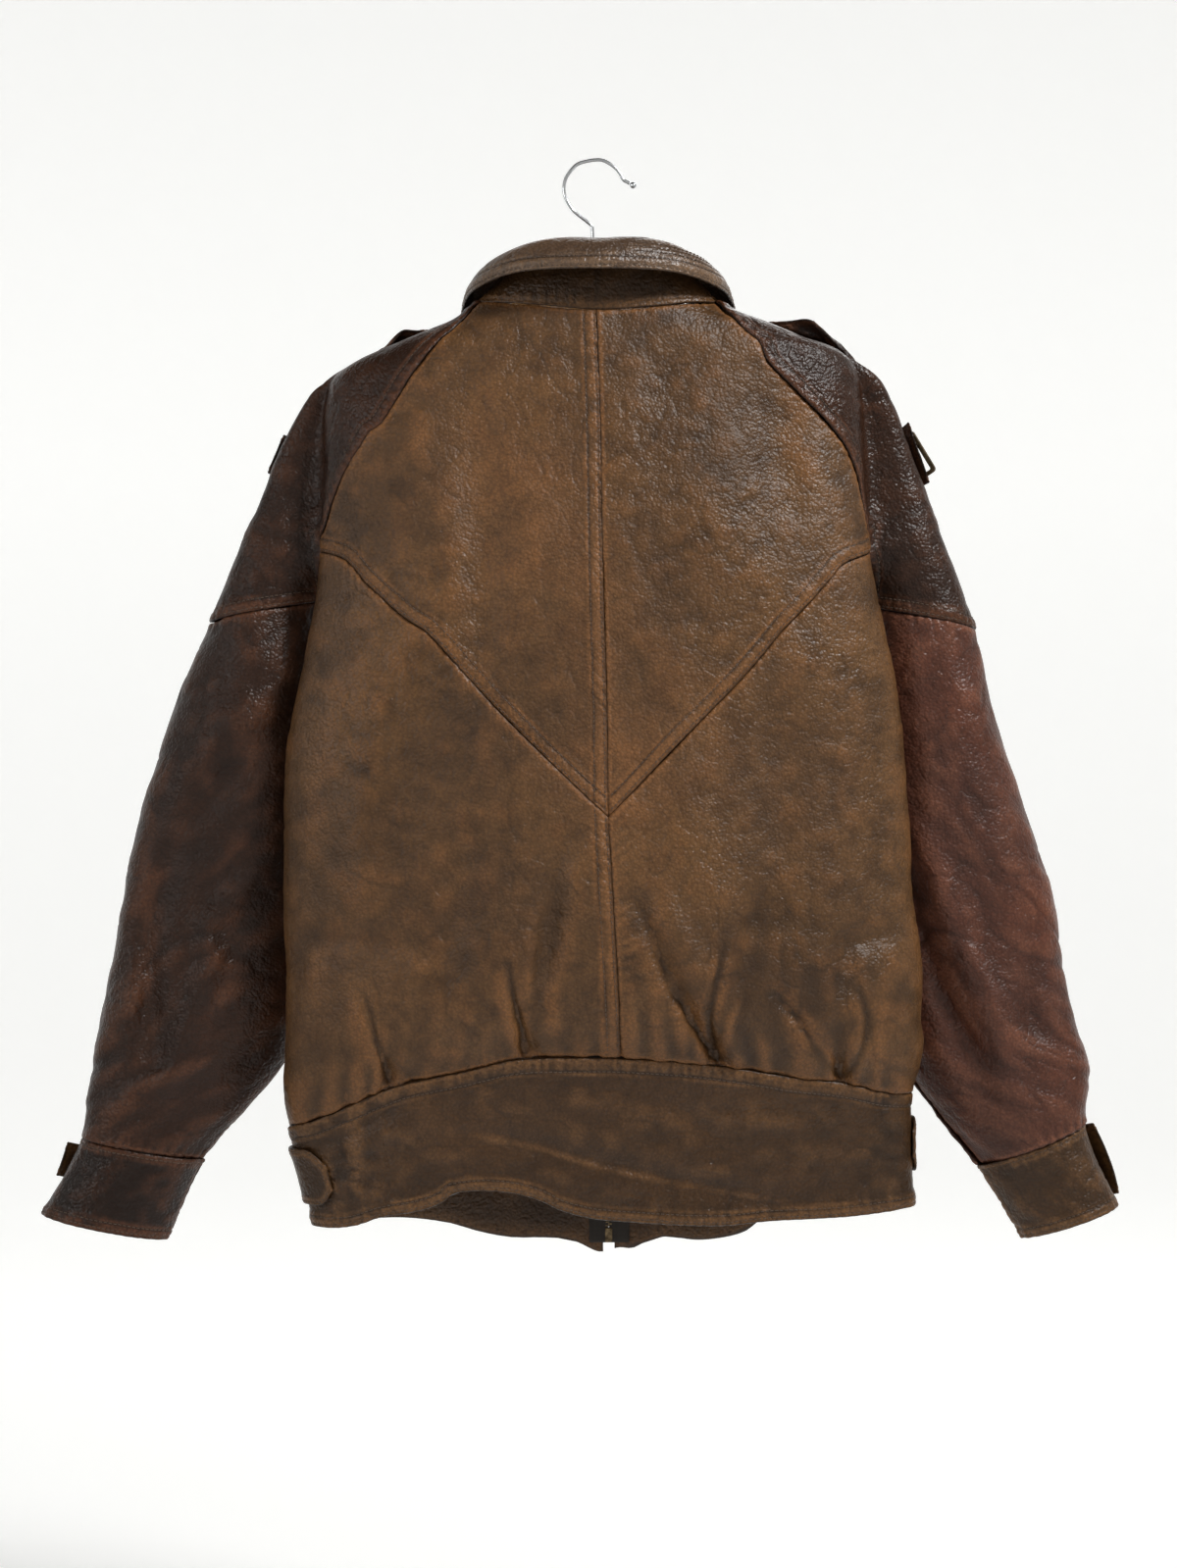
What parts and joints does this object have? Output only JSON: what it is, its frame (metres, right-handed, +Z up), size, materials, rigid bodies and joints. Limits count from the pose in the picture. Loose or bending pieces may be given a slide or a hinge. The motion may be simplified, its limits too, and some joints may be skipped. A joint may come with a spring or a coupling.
{
  "type": "leather jacket on a hanger",
  "caption": "Worn cropped leather jacket with raglan sleeves, turned-down collar, pleated waistband and closed zip, hung on a wooden hanger with a wire hook.",
  "frame": {"origin": "underside of the arch of the hanger's hook, where it bears on the pin or rod that holds it", "axes": "+Z up, the back of the jacket faces -Y and its fronts face +Y, X across the shoulders"},
  "size_m": [0.7751, 0.1324, 0.7885],
  "materials": {
    "leather_body": "worn, softly shiny",
    "leather_sleeve": "worn, softly shiny",
    "leather_trim": "worn, softly shiny",
    "zip_cloth": "matt woven tape",
    "zip_metal": "tarnished",
    "wood": "clear varnish",
    "wire": "bright"
  },
  "bodies": {
    "jacket": {"back_yoke_left": "leather_body", "back_yoke_right": "leather_body", "lower_back_left": "leather_body", "lower_back_right": "leather_body", "waistband_back": "leather_trim", "front_left": "leather_body", "waistband_front_left": "leather_trim", "front_right": "leather_body", "waistband_front_right": "leather_trim", "sleeve_upper_left": "leather_sleeve", "sleeve_lower_left": "leather_sleeve", "cuff_left": "leather_trim", "sleeve_upper_right": "leather_sleeve", "sleeve_lower_right": "leather_sleeve", "cuff_right": "leather_trim", "collar_stand": "leather_trim", "collar_fall": "leather_trim", "side_tab_left": "leather_trim", "side_tab_right": "leather_trim", "shoulder_flap_left": "leather_sleeve", "shoulder_flap_right": "leather_sleeve", "sleeve_strap_left": "leather_sleeve", "sleeve_strap_right": "leather_sleeve", "strap_buckle": "zip_metal", "cuff_tab_left": "leather_trim", "cuff_tab_right": "leather_trim", "hanger_bar": "wood", "hanger_hook": "wire", "hook_bead": "wire", "zip_tape_left": "zip_cloth", "zip_tape_right": "zip_cloth", "zip_chain": "zip_metal", "zip_box": "zip_metal", "zip_slider": "zip_metal"},
    "pull": {"zip_pull": "zip_metal"}
  },
  "joints": [
    {"name": "zip_pull_swing", "type": "hinge", "parent": "jacket", "child": "pull", "pos_m": [0.0105, 0.03904, -0.186], "axis": [1, 0, 0], "range_deg": [0, 150]}
  ]
}
